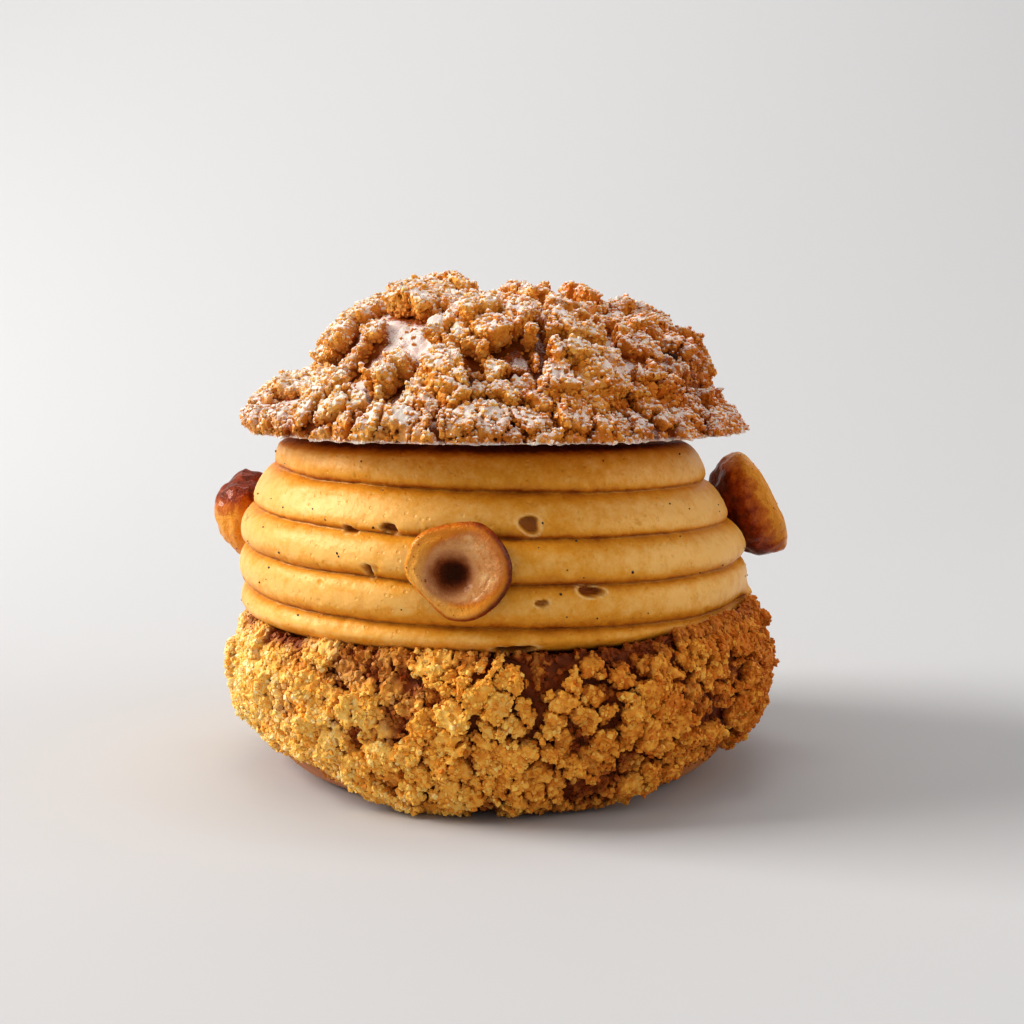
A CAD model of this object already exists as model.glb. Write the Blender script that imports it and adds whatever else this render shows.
"""Looks of a round Paris-Brest bun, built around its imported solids.

Each craquelin crust is piled up from thousands of angular grains that are merged into one skin over
the choux. The praline cream is one coiled rope with its air holes and vanilla seeds, and caramelised
hazelnut halves are pressed into it. Lengths are in metres, +Z is up and -Y is the front.
"""

import itertools
import math

import bpy
import numpy as np
from mathutils import Matrix, Vector, bvhtree


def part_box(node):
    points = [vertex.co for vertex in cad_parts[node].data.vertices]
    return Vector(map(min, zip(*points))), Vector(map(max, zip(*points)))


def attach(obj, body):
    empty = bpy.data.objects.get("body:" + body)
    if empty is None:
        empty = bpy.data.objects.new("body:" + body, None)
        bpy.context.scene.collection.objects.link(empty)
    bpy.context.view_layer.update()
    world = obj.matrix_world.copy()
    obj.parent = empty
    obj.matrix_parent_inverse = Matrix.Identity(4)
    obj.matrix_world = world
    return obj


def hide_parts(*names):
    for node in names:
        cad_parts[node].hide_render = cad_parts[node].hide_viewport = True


bl_info = {
    "name": "Craquelin bun with praline cream",
    "version": (1, 0, 0),
    "blender": (4, 5, 0),
    "location": "3D View > Sidebar > Bun",
    "description": "Crusts, cream, hazelnuts, sugar and stage of a round choux bun",
    "category": "Object",
}

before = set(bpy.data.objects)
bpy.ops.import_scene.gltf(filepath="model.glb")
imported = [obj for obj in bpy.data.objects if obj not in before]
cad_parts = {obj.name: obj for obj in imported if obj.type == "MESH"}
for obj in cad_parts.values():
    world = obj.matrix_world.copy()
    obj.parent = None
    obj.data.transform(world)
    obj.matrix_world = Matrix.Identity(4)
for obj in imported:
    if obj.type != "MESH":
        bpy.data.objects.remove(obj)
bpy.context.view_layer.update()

MM = 0.001

CREAM_LOW, CREAM_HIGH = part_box("praline_cream")
CAP_LOW, CAP_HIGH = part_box("choux_cap")
CREAM_CENTRE = (CREAM_LOW + CREAM_HIGH) / 2
CAP_CENTRE = (CAP_LOW + CAP_HIGH) / 2
CAP_AXIS = np.array((CAP_CENTRE.x, CAP_CENTRE.y, 0.0))

# Sizes of the base, as its solid has them, and how deep its crust is laid into it.
FOOT_RADIUS = 28.0 * MM
BELLY_RADIUS = 39.2 * MM
BELLY_HEIGHT = 15.0 * MM
SHELF_HEIGHT = 22.0 * MM
SEAT_RADIUS = 35.7 * MM
SEAT_HEIGHT = 20.5 * MM
LIP_RISE = 3.6 * MM
BASE_INSET = 1.9 * MM

# The rope of cream.
CREAM_RADIUS = 37.2 * MM
CREAM_SEAT_RADIUS = 34.3 * MM
ROPE_PITCH = 5.6 * MM
GROOVE_HEIGHT = 25.9 * MM
FRONT = math.radians(-90)
TURNS = 5
GROOVE_DEPTH = 2.0 * MM

# How far the cream draws in towards the cap, between which heights, and how far it leans to the left.
CREAM_TAPER = 9.3 * MM
TAPER_LOW = 30.0 * MM
TAPER_HIGH = 55.0 * MM
CREAM_LEAN = 1.1 * MM

# How deep the cap's crust is laid in, above and at the brim, and how much its choux lies lower.
CAP_INSET = 3.3 * MM
BRIM_INSET = 1.5 * MM
CHOUX_DROP = 0.45 * MM

# Radius that the slow swells of the cap are worked out for.
CAP_RADIUS = 36 * MM

# The lowest lift that the crumbs and grains of the cap are coloured for.
SUGARED_LIFT = 0.35

# The cut face of a hazelnut half before it gets its own width and length.
KERNEL_RADIUS = 6 * MM

# Steps round the choux of the base, a hazelnut half and one turn of rope.
CHOUX_STEPS = 220
NUT_STEPS = 112
ROPE_STEPS = 720

# How far a crust reaches into the choux, and the room for it in its grid, below and above.
CRUST_ROOT = 0.7 * MM
CRUST_BELOW = 0.8 * MM
CRUST_ABOVE = 1.1 * MM

MOST_FACES = 180000  # triangles of one half of a crust
MOST_AT_ONCE = 20000  # points that are compared in one go, or that plates and flakes are picked from


# ---- Numbers ---------------------------------------------------------------------------------


def smooth_step(low, high, value):
    """0 at low, 1 at high, and an S curve between. value may be an array, and low may be above high."""
    share = np.clip((value - low) / (high - low), 0.0, 1.0)
    return share * share * (3 - 2 * share)


def lattice_value(key, seed):
    """A random value from 0 to 1 for each whole-numbered place."""
    mixed = key[:, 0] * 73856093 ^ key[:, 1] * 19349663 ^ key[:, 2] * 83492791 ^ (seed + 1) * 40503
    mixed = ((mixed ^ mixed >> 13) * 1274126177) & 0xFFFFFFFF
    return ((mixed ^ mixed >> 16) & 0xFFFF) / 65535


def lattice_noise(points, size, seed=0):
    """Smooth random values from -1 to 1 at points, for features about size across."""
    place = points / size + 512.0
    cell = np.floor(place).astype(np.int64)
    share = place - cell
    share = share * share * (3 - 2 * share)
    total = np.zeros(len(points))
    for corner in itertools.product((0, 1), repeat=3):
        value = 2 * lattice_value(cell + np.array(corner), seed) - 1
        total += value * np.prod(np.where(corner, share, 1 - share), axis=1)
    return total


def lumpy_noise(points, size, seed=0):
    """Round lumps about size across: 1 in the middle of each and near 0 between two."""
    place = points / size + 512.0
    cell = np.floor(place).astype(np.int64)
    nearest = np.full(len(points), 9.0)
    for corner in itertools.product((-1, 0, 1), repeat=3):
        key = cell + np.array(corner)
        middle = key + np.stack([lattice_value(key, seed + axis) for axis in range(3)], axis=1)
        nearest = np.minimum(nearest, np.linalg.norm(middle - place, axis=1))
    return 1 - np.clip(nearest / 0.85, 0, 1) ** 2


def noise_vectors(points, size, seed=0):
    return np.stack([lattice_noise(points, size, seed + 11 * axis) for axis in range(3)], axis=1)


def round_places(radius, angle, height):
    """Places from matching arrays of radius, angle and height."""
    return np.stack([radius * np.cos(angle), radius * np.sin(angle), height], axis=-1)


def random_turns(count, rng):
    """count random rotation matrices."""
    quaternion = rng.normal(size=(count, 4))
    quaternion /= np.linalg.norm(quaternion, axis=1)[:, None]
    w, x, y, z = quaternion.T
    rows = [
        [1 - 2 * (y * y + z * z), 2 * (x * y - z * w), 2 * (x * z + y * w)],
        [2 * (x * y + z * w), 1 - 2 * (x * x + z * z), 2 * (y * z - x * w)],
        [2 * (x * z - y * w), 2 * (y * z + x * w), 1 - 2 * (x * x + y * y)],
    ]
    return np.moveaxis(np.array(rows), -1, 0)


# ---- Meshes ----------------------------------------------------------------------------------


def only_select(piece):
    bpy.ops.object.select_all(action="DESELECT")
    piece.select_set(True)
    bpy.context.view_layer.objects.active = piece


def mesh_piece(name, points, faces):
    """A new object from an array of points and one of triangles or quads."""
    mesh = bpy.data.meshes.new(name)
    corners = faces.shape[1]
    mesh.vertices.add(len(points))
    mesh.vertices.foreach_set("co", np.asarray(points, np.float32).ravel())
    mesh.loops.add(faces.size)
    mesh.loops.foreach_set("vertex_index", faces.astype(np.int32).ravel())
    mesh.polygons.add(len(faces))
    mesh.polygons.foreach_set("loop_start", np.arange(0, faces.size, corners, dtype=np.int32))
    mesh.update(calc_edges=True)
    mesh.validate()
    piece = bpy.data.objects.new(name, mesh)
    bpy.context.scene.collection.objects.link(piece)
    return piece


def points_of(piece):
    points = np.zeros(len(piece.data.vertices) * 3, np.float32)
    piece.data.vertices.foreach_get("co", points)
    return points.reshape(-1, 3).astype(float)


def put_points(piece, points):
    piece.data.vertices.foreach_set("co", np.asarray(points, np.float32).ravel())
    piece.data.update()


def normals_of(piece):
    normals = np.zeros(len(piece.data.vertices) * 3, np.float32)
    piece.data.vertex_normals.foreach_get("vector", normals)
    return normals.reshape(-1, 3).astype(float)


def triangles_of(piece):
    piece.data.calc_loop_triangles()
    corners = np.zeros(len(piece.data.loop_triangles) * 3, np.int32)
    piece.data.loop_triangles.foreach_get("vertices", corners)
    return corners.reshape(-1, 3)


def add_value(piece, name, values):
    """Stores one number for each vertex, for the material to read."""
    attribute = piece.data.attributes.new(name, "FLOAT", "POINT")
    attribute.data.foreach_set("value", np.asarray(values, np.float32))


def values_of(piece, name):
    values = np.zeros(len(piece.data.vertices), np.float32)
    piece.data.attributes[name].data.foreach_get("value", values)
    return values


def apply_modifier(piece, kind, **settings):
    """Adds a modifier, gives it its settings and applies it."""
    only_select(piece)
    modifier = piece.modifiers.new(kind.title(), kind)
    for key, value in settings.items():
        setattr(modifier, key, value)
    bpy.ops.object.modifier_apply(modifier=modifier.name)


def turned_piece(name, profile, steps, climb=0.0):
    """A profile of (radius, height) turned once about Z, climbing by climb, with its seam merged."""
    mesh = bpy.data.meshes.new(name)
    mesh.from_pydata([(r, 0.0, z) for r, z in profile], [(i, i + 1) for i in range(len(profile) - 1)], [])
    piece = bpy.data.objects.new(name, mesh)
    bpy.context.scene.collection.objects.link(piece)
    apply_modifier(
        piece,
        "SCREW",
        axis="Z",
        steps=steps,
        render_steps=steps,
        screw_offset=climb,
        use_merge_vertices=False,
        use_normal_calculate=True,
    )
    bpy.ops.object.mode_set(mode="EDIT")
    bpy.ops.mesh.select_all(action="SELECT")
    bpy.ops.mesh.remove_doubles(threshold=0.01 * MM)
    bpy.ops.mesh.normals_make_consistent(inside=False)
    bpy.ops.object.mode_set(mode="OBJECT")
    return piece


def finish_piece(piece, material, slot, *nodes, smooth=True):
    """Gives a piece its material, its body, its slot and the solids that it stands for."""
    piece.data.materials.clear()
    piece.data.materials.append(material)
    if smooth:
        piece.data.shade_smooth()
    else:
        piece.data.shade_flat()
    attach(piece, "root")
    if nodes:
        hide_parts(*nodes)


def spaced_out(points, gap, rng, most=900):
    """Some of the points, no two nearer than gap."""
    kept = np.empty((0, 3))
    for point in points[rng.permutation(len(points))[:MOST_AT_ONCE]]:
        if len(kept) == 0 or np.min(np.sum((kept - point) ** 2, axis=1)) > gap * gap:
            kept = np.vstack([kept, point])
        if len(kept) >= most:
            break
    return kept


# ---- Skin of a field -------------------------------------------------------------------------


def skin_of(field):
    """Points, in grid steps, and quads of the surface where a 3-D field falls through zero.

    Each grid cell that the surface passes gets one point, at the mean of its crossings. The field
    is below zero on every border.
    """
    size = np.array(field.shape) - 1
    inside = field > 0
    total = np.zeros(size, np.int8)
    for i, j, k in itertools.product((0, 1), repeat=3):
        total += inside[i : size[0] + i, j : size[1] + j, k : size[2] + k]
    cells = np.argwhere((total > 0) & (total < 8))
    index = np.full(size, -1, np.int64)
    index[tuple(cells.T)] = np.arange(len(cells))
    sums, hits = np.zeros((len(cells), 3)), np.zeros(len(cells))
    for axis in range(3):
        for offset in itertools.product((0, 1), repeat=2):
            first = np.insert(np.array(offset), axis, 0)
            last = np.insert(np.array(offset), axis, 1)
            low, high = field[tuple((cells + first).T)], field[tuple((cells + last).T)]
            crossed = (low > 0) != (high > 0)
            share = np.where(crossed, low / np.where(crossed, low - high, 1.0), 0.0)
            sums += crossed[:, None] * (first + share[:, None] * (last - first))
            hits += crossed
    points = cells + sums / hits[:, None]
    quads = []
    for axis in range(3):
        low = [slice(0, n + (1 if a != axis else 0)) for a, n in enumerate(size)]
        high = [slice(1, n + 1) if a == axis else slice(0, n + 1) for a, n in enumerate(size)]
        changed = np.argwhere(inside[tuple(low)] != inside[tuple(high)])
        falls = inside[tuple(changed.T)]
        second, third = (axis + 1) % 3, (axis + 2) % 3
        corners = []
        for back, down in ((0, 0), (1, 0), (1, 1), (0, 1)):
            cell = changed.copy()
            cell[:, second] -= back
            cell[:, third] -= down
            corners.append(index[tuple(cell.T)])
        quad = np.stack(corners, axis=1)
        quad[~falls] = quad[~falls][:, ::-1]
        quads.append(quad)
    return points, np.concatenate(quads)


# ---- Craquelin -------------------------------------------------------------------------------


class Craquelin:
    """How a crust has cracked: plates made of flakes, and flakes made of grains."""

    gap = 0.6 * MM  # between two flakes
    lump = 1.4 * MM  # size of the lumps on the plates
    blocky = 0.36  # how much each grain is one level block

    def __init__(self, **sizes):
        self.__dict__.update(sizes)


def two_nearest(points, middles):
    """Which middle is nearest to each point, and how much farther the second nearest is."""
    own, gap = [], []
    for part in np.array_split(points, max(1, len(points) // MOST_AT_ONCE)):
        square = np.sum(part**2, axis=1)[:, None] + np.sum(middles**2, axis=1) - 2 * part @ middles.T
        distance = np.sqrt(np.maximum(square, 0))
        nearest = np.argmin(distance, axis=1)
        rows = np.arange(len(part))
        least = distance[rows, nearest]
        distance[rows, nearest] = np.inf
        own.append(nearest)
        gap.append(distance.min(axis=1) - least)
    return np.concatenate(own), np.concatenate(gap)


def plate_maps(points, plan, dense, rng):
    """For each point of the choux: the crust's top and underside, the way to a side, and its flake."""
    inner = points[rng.permutation(len(points))]
    plates = spaced_out(inner, plan.plate, rng)
    flakes = spaced_out(inner, plan.flake, rng, most=1500)
    bent = points + 0.24 * plan.plate * noise_vectors(points, 0.62 * plan.plate, 1)
    bent += 0.55 * MM * noise_vectors(points, 1.5 * MM, 5)
    own_plate, plate_gap = two_nearest(bent, plates)
    own_flake, flake_gap = two_nearest(points + 0.5 * MM * noise_vectors(points, 1.3 * MM, 15), flakes)
    flake_plate = two_nearest(flakes, plates)[0]
    # A flake lies wholly in one plate, so plates have ragged outlines made of flakes.
    own = np.where(rng.random(len(flakes))[own_flake] < 0.75, flake_plate[own_flake], own_plate)
    wide = smooth_step(-0.55, 0.55, lattice_noise(points, 2.0 * plan.plate, 9))
    crack = plan.crack * (0.12 + 0.88 * wide) * (1 - 0.8 * dense)
    side = (plate_gap - crack) / 2
    narrow = plan.gap * (0.1 + 1.1 * rng.random(len(flakes))[own_flake]) * (1 - 0.5 * dense)
    side = np.minimum(side, np.where(flake_gap < narrow, -0.75 * MM, plan.plate))
    share = rng.random(len(plates))
    height = plan.thin + (plan.thick - plan.thin) * share
    lean = rng.normal(size=(len(plates), 3)) * plan.tilt
    flake_lean = rng.normal(size=(len(flakes), 3)) * plan.tilt * 1.3
    top = height[own] + np.sum(lean[own] * (points - plates[own]), axis=1)
    top += (rng.random(len(flakes))[own_flake] - 0.5) * 0.5 * (plan.thick - plan.thin)
    top += np.sum(flake_lean[own_flake] * (points - flakes[own_flake]), axis=1)
    top += 0.2 * MM * lattice_noise(points, 1.1 * MM, 22)
    lump = lumpy_noise(points, plan.lump, 24) - 0.55
    top += plan.lumpy * lump * (1 - 0.35 * dense)
    side += 0.55 * plan.lumpy * lump * (1 - 0.5 * dense)
    top = np.clip(top, 0.45 * MM, plan.thick + 0.5 * MM)
    # The rim of a plate curls off the choux, so its underside shows.
    curl = 1 - smooth_step(0.0, 1.3 * MM, side)
    under = plan.lifted * curl * (0.3 + share[own]) * (top / plan.thick)
    # Each flake still stands on the choux at its lowest place.
    group = np.unique(own * len(flakes) + own_flake, return_inverse=True)[1]
    lowest = np.full(group.max() + 1, 9.0)
    np.minimum.at(lowest, group, np.where(side > 0.1 * MM, under, 9.0))
    under -= np.where(lowest[group] < 1, lowest[group], 0) + 0.1 * MM
    return top, under, side, own_flake


def grain_cells(shape, step, grain, closed, rng):
    """For each voxel, the middle of the angular grain that holds it, in voxels, and its number."""
    rows = shape[0] * step
    count = [max(1, round(rows / grain))] + [int(n * step / grain) + 2 for n in shape[1:]]
    size = np.array([rows / count[0], grain, grain]) / step
    jitter = rng.random((*count, 3)).astype(np.float32)
    axes = np.meshgrid(*[np.arange(n, dtype=np.float32) for n in shape], indexing="ij")
    cell = [np.floor(axes[a] / size[a]).astype(np.int32) for a in range(3)]
    best = np.full(shape, np.inf, np.float32)
    middle = [np.zeros(shape, np.float32) for _ in range(3)]
    number = np.zeros(shape, np.int32)
    for offset in itertools.product((-1, 0, 1), repeat=3):
        near = [cell[a] + offset[a] for a in range(3)]
        first = near[0] % count[0] if closed else np.clip(near[0], 0, count[0] - 1)
        second = np.clip(near[1], 0, count[1] - 1)
        third = np.clip(near[2], 0, count[2] - 1)
        shift = jitter[first, second, third]
        place = [(near[a] + shift[..., a]) * size[a] for a in range(3)]
        distance = sum((place[a] - axes[a]) ** 2 for a in range(3))
        closer = distance < best
        best[closer] = distance[closer]
        for a in range(3):
            middle[a][closer] = place[a][closer]
        number[closer] = ((first * count[1] + second) * count[2] + third)[closer]
    return middle, number, int(np.prod(count))


def grid_sample(grid, rows, columns, closed):
    """Values of a grid at fractional rows and columns."""
    last = np.array(grid.shape[:2]) - 1
    low_row = np.floor(rows).astype(int)
    low_column = np.clip(np.floor(columns).astype(int), 0, last[1] - 1)
    across, along = (rows - low_row)[:, None], (columns - low_column)[:, None]
    if closed:
        low_row, next_row = low_row % len(grid), (low_row + 1) % len(grid)
    else:
        low_row = np.clip(low_row, 0, last[0] - 1)
        next_row = low_row + 1
    first = grid[low_row, low_column] * (1 - along) + grid[low_row, low_column + 1] * along
    second = grid[next_row, low_column] * (1 - along) + grid[next_row, low_column + 1] * along
    return first * (1 - across) + second * across


def surface_normals(places, closed):
    """Unit normals of a grid of places."""
    if closed:
        across = np.roll(places, -1, axis=0) - np.roll(places, 1, axis=0)
    else:
        across = np.gradient(places, axis=0)
    along = np.gradient(places, axis=1)
    normals = np.cross(across, along)
    return normals / np.maximum(np.linalg.norm(normals, axis=2), 1e-12)[..., None]


def grow_crust(name, places, closed, step, plan, edge, dense, full, split):
    """A crust on a grid of choux places, as a front and a back piece, with the data of its points.

    edge is how far each place lies inside the crust's outline, dense is 1 where it hardly cracked,
    and full is the share of its thickness that it has there. split names the grid's axis that runs
    from back to front. Each half is a shell that reaches a little into the choux. It is closed until
    it is thinned to MOST_FACES, which leaves a few pinholes.
    """
    rng = np.random.default_rng(plan.seed)
    normals = surface_normals(places, closed)
    flat = places.reshape(-1, 3)
    shape2 = places.shape[:2]
    maps = plate_maps(flat, plan, dense.ravel(), rng)
    top, under, side, flake = (values.reshape(shape2) for values in maps)
    top, under = top * full, under * full
    below = int(math.ceil(CRUST_BELOW / step))
    levels = below + int(math.ceil((plan.thick + CRUST_ABOVE) / step)) + 2
    shape = (*shape2, levels)
    middle, number, cells = grain_cells(shape, step, plan.grain, closed, rng)
    # Most grains sit nearly level, a few stand out and a few have fallen off.
    chance = rng.random(cells)
    proud = (rng.random(cells) - 0.5) * 0.42 + 0.4 * (chance > 0.97) - 1.6 * (chance < plan.pores)
    uneven = (proud * plan.grain).astype(np.float32)[number]
    lift = (np.arange(levels) - below)[None, None, :] * step

    def plate_field(row, column, level):
        row = np.rint(row).astype(int)
        row = row % shape[0] if closed else np.clip(row, 0, shape[0] - 1)
        here = (row, np.clip(np.rint(column).astype(int), 0, shape[1] - 1))
        height = (level - below) * step
        field = np.minimum(top[here] - height, height - under[here])
        return np.minimum(np.minimum(field, side[here]), edge[here])

    rows, columns, heights = np.meshgrid(*[np.arange(n) for n in shape], indexing="ij")
    field = plan.blocky * plate_field(*middle) + uneven
    field += (1 - plan.blocky) * plate_field(rows, columns, heights)
    wrinkles = plan.wrinkle * (lattice_noise(flat, 2.4 * MM, 33) + 0.6 * lattice_noise(flat, 0.8 * MM, 34))
    skin = wrinkles.reshape(shape2) + 0.12 * MM
    floor = skin[..., None] + 0.25 * np.clip(uneven, -0.5 * MM, 0.5 * MM) - lift
    floor = np.minimum(floor, edge[..., None])
    field = np.maximum(field, floor)
    field = np.minimum(field, lift + CRUST_ROOT)
    field[:, [0, -1]] = -step
    field[..., [0, -1]] = -step
    if not closed:
        field[[0, -1]] = -step
    tones, flake_tones = rng.random(cells), rng.random(int(flake.max()) + 1)
    half = field.shape[split] // 2
    halves = []
    for side_name, first, last in (("back", half, 2 * half), ("front", 0, half)):
        if closed:
            first, last = half - first, 2 * half - first
        start = max(first - 1, 0) if not closed else first - 1
        chosen = np.arange(start, min(last + 2, field.shape[split] + (2 if closed else 0)))
        part = np.take(field, chosen % field.shape[split], axis=split)
        part = np.moveaxis(part, split, 0).copy()
        part[[0, -1]] = -step
        part = np.moveaxis(part, 0, split)
        points, quads = skin_of(part)
        points[:, split] += start
        row, column, level = points.T
        height = (level - below) * step
        place = grid_sample(places, row, column, closed)
        out = grid_sample(normals, row, column, closed)
        out /= np.linalg.norm(out, axis=1)[:, None]
        piece = mesh_piece(name + "_" + side_name, place + out * height[:, None], quads)
        nearest = (
            np.rint(row).astype(int) % shape[0],
            np.clip(np.rint(column).astype(int), 0, shape[1] - 1),
            np.clip(np.rint(level).astype(int), 0, shape[2] - 1),
        )
        add_value(piece, "lift", np.clip(height / plan.thick, 0, 1.3))
        add_value(piece, "tone", tones[number[nearest]])
        add_value(piece, "flake", flake_tones[flake[nearest[:2]]])
        triangles = len(triangles_of(piece))
        if triangles > MOST_FACES:
            apply_modifier(piece, "DECIMATE", ratio=MOST_FACES / triangles, use_collapse_triangulate=True)
        halves.append(piece)
    return halves


# ---- Crumbs ----------------------------------------------------------------------------------

# How many loose crumbs a crust has, how many grains each half of it has, and their radii.
CRUMBS = 4000
GRAINS = 15000
LEAST_RADIUS = 0.2 * MM
LARGEST_GRAIN = 0.42 * MM

# How many shapes of crumb there are, and of grain, and the points that each has.
KINDS = 32
CRUMB_POINTS = 12
GRAIN_POINTS = 8


def dented(ball, seed):
    """Plain shapes made from one: each is dented and stretched in its own way."""
    points, faces = points_of(ball), triangles_of(ball)
    bpy.data.objects.remove(ball, do_unlink=True)
    rng = np.random.default_rng(seed)
    kinds = []
    for _ in range(KINDS):
        dents = 1 + 0.5 * (rng.random(len(points)) - 0.5)
        stretch = 1 + 0.6 * (rng.random(3) - 0.5)
        kinds.append(points * dents[:, None] * stretch)
    return np.array(kinds), faces


def crumb_kinds():
    """Crumbs with 20 sides."""
    bpy.ops.mesh.primitive_ico_sphere_add(subdivisions=1, radius=1.0)
    return dented(bpy.context.object, 3)


def grain_kinds():
    """Grains with six sides, like coarse sugar."""
    bpy.ops.mesh.primitive_cube_add(size=1.3)
    return dented(bpy.context.object, 4)


def crumb_piece(name, shapes, places, radii, rng, facing=None, flatness=0.0, **values):
    """One mesh of many crumbs, each at its place with its radius, turned at random.

    With facing, each crumb is flattened by flatness along its own direction there.
    """
    kinds, faces = shapes
    count = len(places)
    chosen = kinds[rng.integers(0, len(kinds), count)]
    turned = np.einsum("nij,nkj->nki", random_turns(count, rng), chosen)
    if facing is not None:
        up = np.einsum("nki,ni->nk", turned, facing)
        turned -= flatness * up[:, :, None] * facing[:, None, :]
    points = places[:, None, :] + turned * radii[:, None, None]
    corners = faces[None] + (np.arange(count) * chosen.shape[1])[:, None, None]
    piece = mesh_piece(name, points.reshape(-1, 3), corners.reshape(-1, 3))
    for key, numbers in values.items():
        add_value(piece, key, np.repeat(numbers, chosen.shape[1]))
    return piece


def scatter(name, shapes, crusts, count, largest, floor, seed, least=0.0):
    """Crumbs or grains that stick to the crusts, most of them on the plates.

    least is the lowest lift that they are coloured for.
    """
    rng = np.random.default_rng(seed)
    corners, start = [], 0
    for crust in crusts:
        corners.append(triangles_of(crust) + start)
        start += len(crust.data.vertices)
    corners = np.concatenate(corners)
    points = np.concatenate([points_of(crust) for crust in crusts])
    normals = np.concatenate([normals_of(crust) for crust in crusts])
    lift = np.concatenate([values_of(crust, "lift") for crust in crusts])
    a, b, c = (points[corners[:, i]] for i in range(3))
    area = np.linalg.norm(np.cross(b - a, c - a), axis=1)
    height = lift[corners].mean(axis=1)
    weight = area * np.where(height > 0.12, 1.0, 0.15) * (height > -0.01)
    weight = weight * ((a + b + c)[:, 2] / 3 > floor)
    chosen = rng.choice(len(corners), size=count, p=weight / weight.sum())
    shares = rng.dirichlet((1, 1, 1), count)[:, :, None]
    place = (points[corners[chosen]] * shares).sum(axis=1)
    out = (normals[corners[chosen]] * shares).sum(axis=1)
    out /= np.maximum(np.linalg.norm(out, axis=1), 1e-9)[:, None]
    radii = LEAST_RADIUS + (largest - LEAST_RADIUS) * rng.random(count) ** 2.0
    values = {"lift": np.maximum(height[chosen], least)}
    values["tone"] = rng.random(count)
    values["flake"] = rng.random(count)
    return crumb_piece(name, shapes, place + 0.2 * out * radii[:, None], radii, rng, out, 0.15, **values)


def scatter_crumbs(name, crusts, largest, floor, seed, least=0.0):
    return scatter(name + "_crumbs", crumb_kinds(), crusts, CRUMBS, largest, floor, seed, least)


def scatter_grains(name, crusts, floor, seed, least=0.0):
    """A piece of grains for the back half of a crust and one for the front half."""
    pieces = []
    for number, side in enumerate(("back", "front")):
        called = name + "_grains_" + side
        own_seed = seed + 2 * number
        half = [crusts[number]]
        pieces.append(scatter(called, grain_kinds(), half, GRAINS, LARGEST_GRAIN, floor, own_seed, least))
    return pieces


# ---- Base ------------------------------------------------------------------------------------


def around(angle):
    return Vector((math.cos(angle), math.sin(angle), 0.0))


def lip_rise(angle):
    """How far the lip stands above the shelf: high on the right and behind, ragged all round."""
    room = smooth_step(-0.45, 0.75, np.cos(angle - math.radians(20)))
    ring = np.stack([np.cos(angle), np.sin(angle), 0 * angle], axis=-1).reshape(-1, 3)
    ragged = lattice_noise(ring, 0.22, 71).reshape(np.shape(angle))
    return 0.8 * LIP_RISE * room * (0.62 + 0.38 * ragged)


def base_outline():
    """Radius and height up the choux wall, from the foot over the rim to the cream, evenly spaced."""
    arc = []
    for i in range(17):
        turn = math.pi / 2 * i / 16
        height = BELLY_HEIGHT * (1 - math.cos(turn))
        radius = FOOT_RADIUS + (BELLY_RADIUS - FOOT_RADIUS) * math.sin(turn) ** 1.4
        arc.append((radius - BASE_INSET * float(smooth_step(0.5 * MM, 9 * MM, height)), height))
    belly = BELLY_RADIUS - BASE_INSET
    wall = []
    for i in range(1, 7):
        share = i / 6
        height = BELLY_HEIGHT + (SHELF_HEIGHT - 0.7 * MM - BELLY_HEIGHT) * share
        wall.append((belly - 0.9 * MM * share**2, height))
    level = SHELF_HEIGHT - 0.2 * MM
    crest = [(belly - 1.2 * MM, level), (SEAT_RADIUS - 0.1 * MM, level)]
    end = [(SEAT_RADIUS - 0.3 * MM, SHELF_HEIGHT - 1.2 * MM)]
    return np.array([*arc, *wall, *crest, *end])


def evenly(outline, step):
    """The same outline with its points step apart."""
    length = np.concatenate([[0], np.cumsum(np.linalg.norm(np.diff(outline, axis=0), axis=1))])
    places = np.arange(0, length[-1], step)
    return np.stack([np.interp(places, length, outline[:, a]) for a in range(2)], axis=1)


def base_wall(radius, height, angle):
    """Places of the choux wall with its lip and its slow swells, for matching arrays."""
    rise = lip_rise(angle)
    on_lip = smooth_step(SHELF_HEIGHT - 3.4 * MM, SHELF_HEIGHT - 0.9 * MM, height)
    clear = CREAM_RADIUS + 0.35 * MM + CREAM_CENTRE.x * np.cos(angle) + CREAM_CENTRE.y * np.sin(angle)
    pushed = np.maximum(radius, clear + 0.25 * (radius - SEAT_RADIUS))
    radius = radius + (pushed - radius) * smooth_step(0.3 * MM, 1.4 * MM, rise) * on_lip
    place = round_places(radius, angle, height)
    swell = 0.7 * MM * lattice_noise(place.reshape(-1, 3), 15 * MM, 72).reshape(radius.shape)
    swell += 0.9 * MM * smooth_step(-0.2, 1.0, np.cos(angle)) * smooth_step(8 * MM, 14 * MM, height)
    radius = radius + swell * smooth_step(0.0, 6 * MM, height) * (1 - on_lip)
    return round_places(radius, angle, height + rise * on_lip)


def base_choux():
    """The choux body of the base: foot, wall, lip and the seat under the cream."""
    outline = evenly(base_outline(), 0.9 * MM)
    floor = [(SEAT_RADIUS * i / 8, SEAT_HEIGHT) for i in range(8, -1, -1)]
    foot = [(FOOT_RADIUS * i / 8, 0.0) for i in range(8)]
    piece = turned_piece("base_choux", [*foot, *outline[1:], *floor], CHOUX_STEPS)
    points = points_of(piece)
    radius, angle = np.hypot(points[:, 0], points[:, 1]), np.arctan2(points[:, 1], points[:, 0])
    wall = (radius > SEAT_RADIUS - 0.5 * MM) | (points[:, 2] < SEAT_HEIGHT - 1 * MM)
    wall &= points[:, 2] > 0.2 * MM
    points[wall] = base_wall(radius, points[:, 2], angle)[wall]
    covered = smooth_step(0.0, 2.0 * MM, points[:, 2] - skirt_height(angle))
    shrink = 1 - 0.5 * MM * covered / np.maximum(radius, 1 * MM)
    points[wall, :2] *= shrink[wall, None]
    put_points(piece, points)
    return piece


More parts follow.
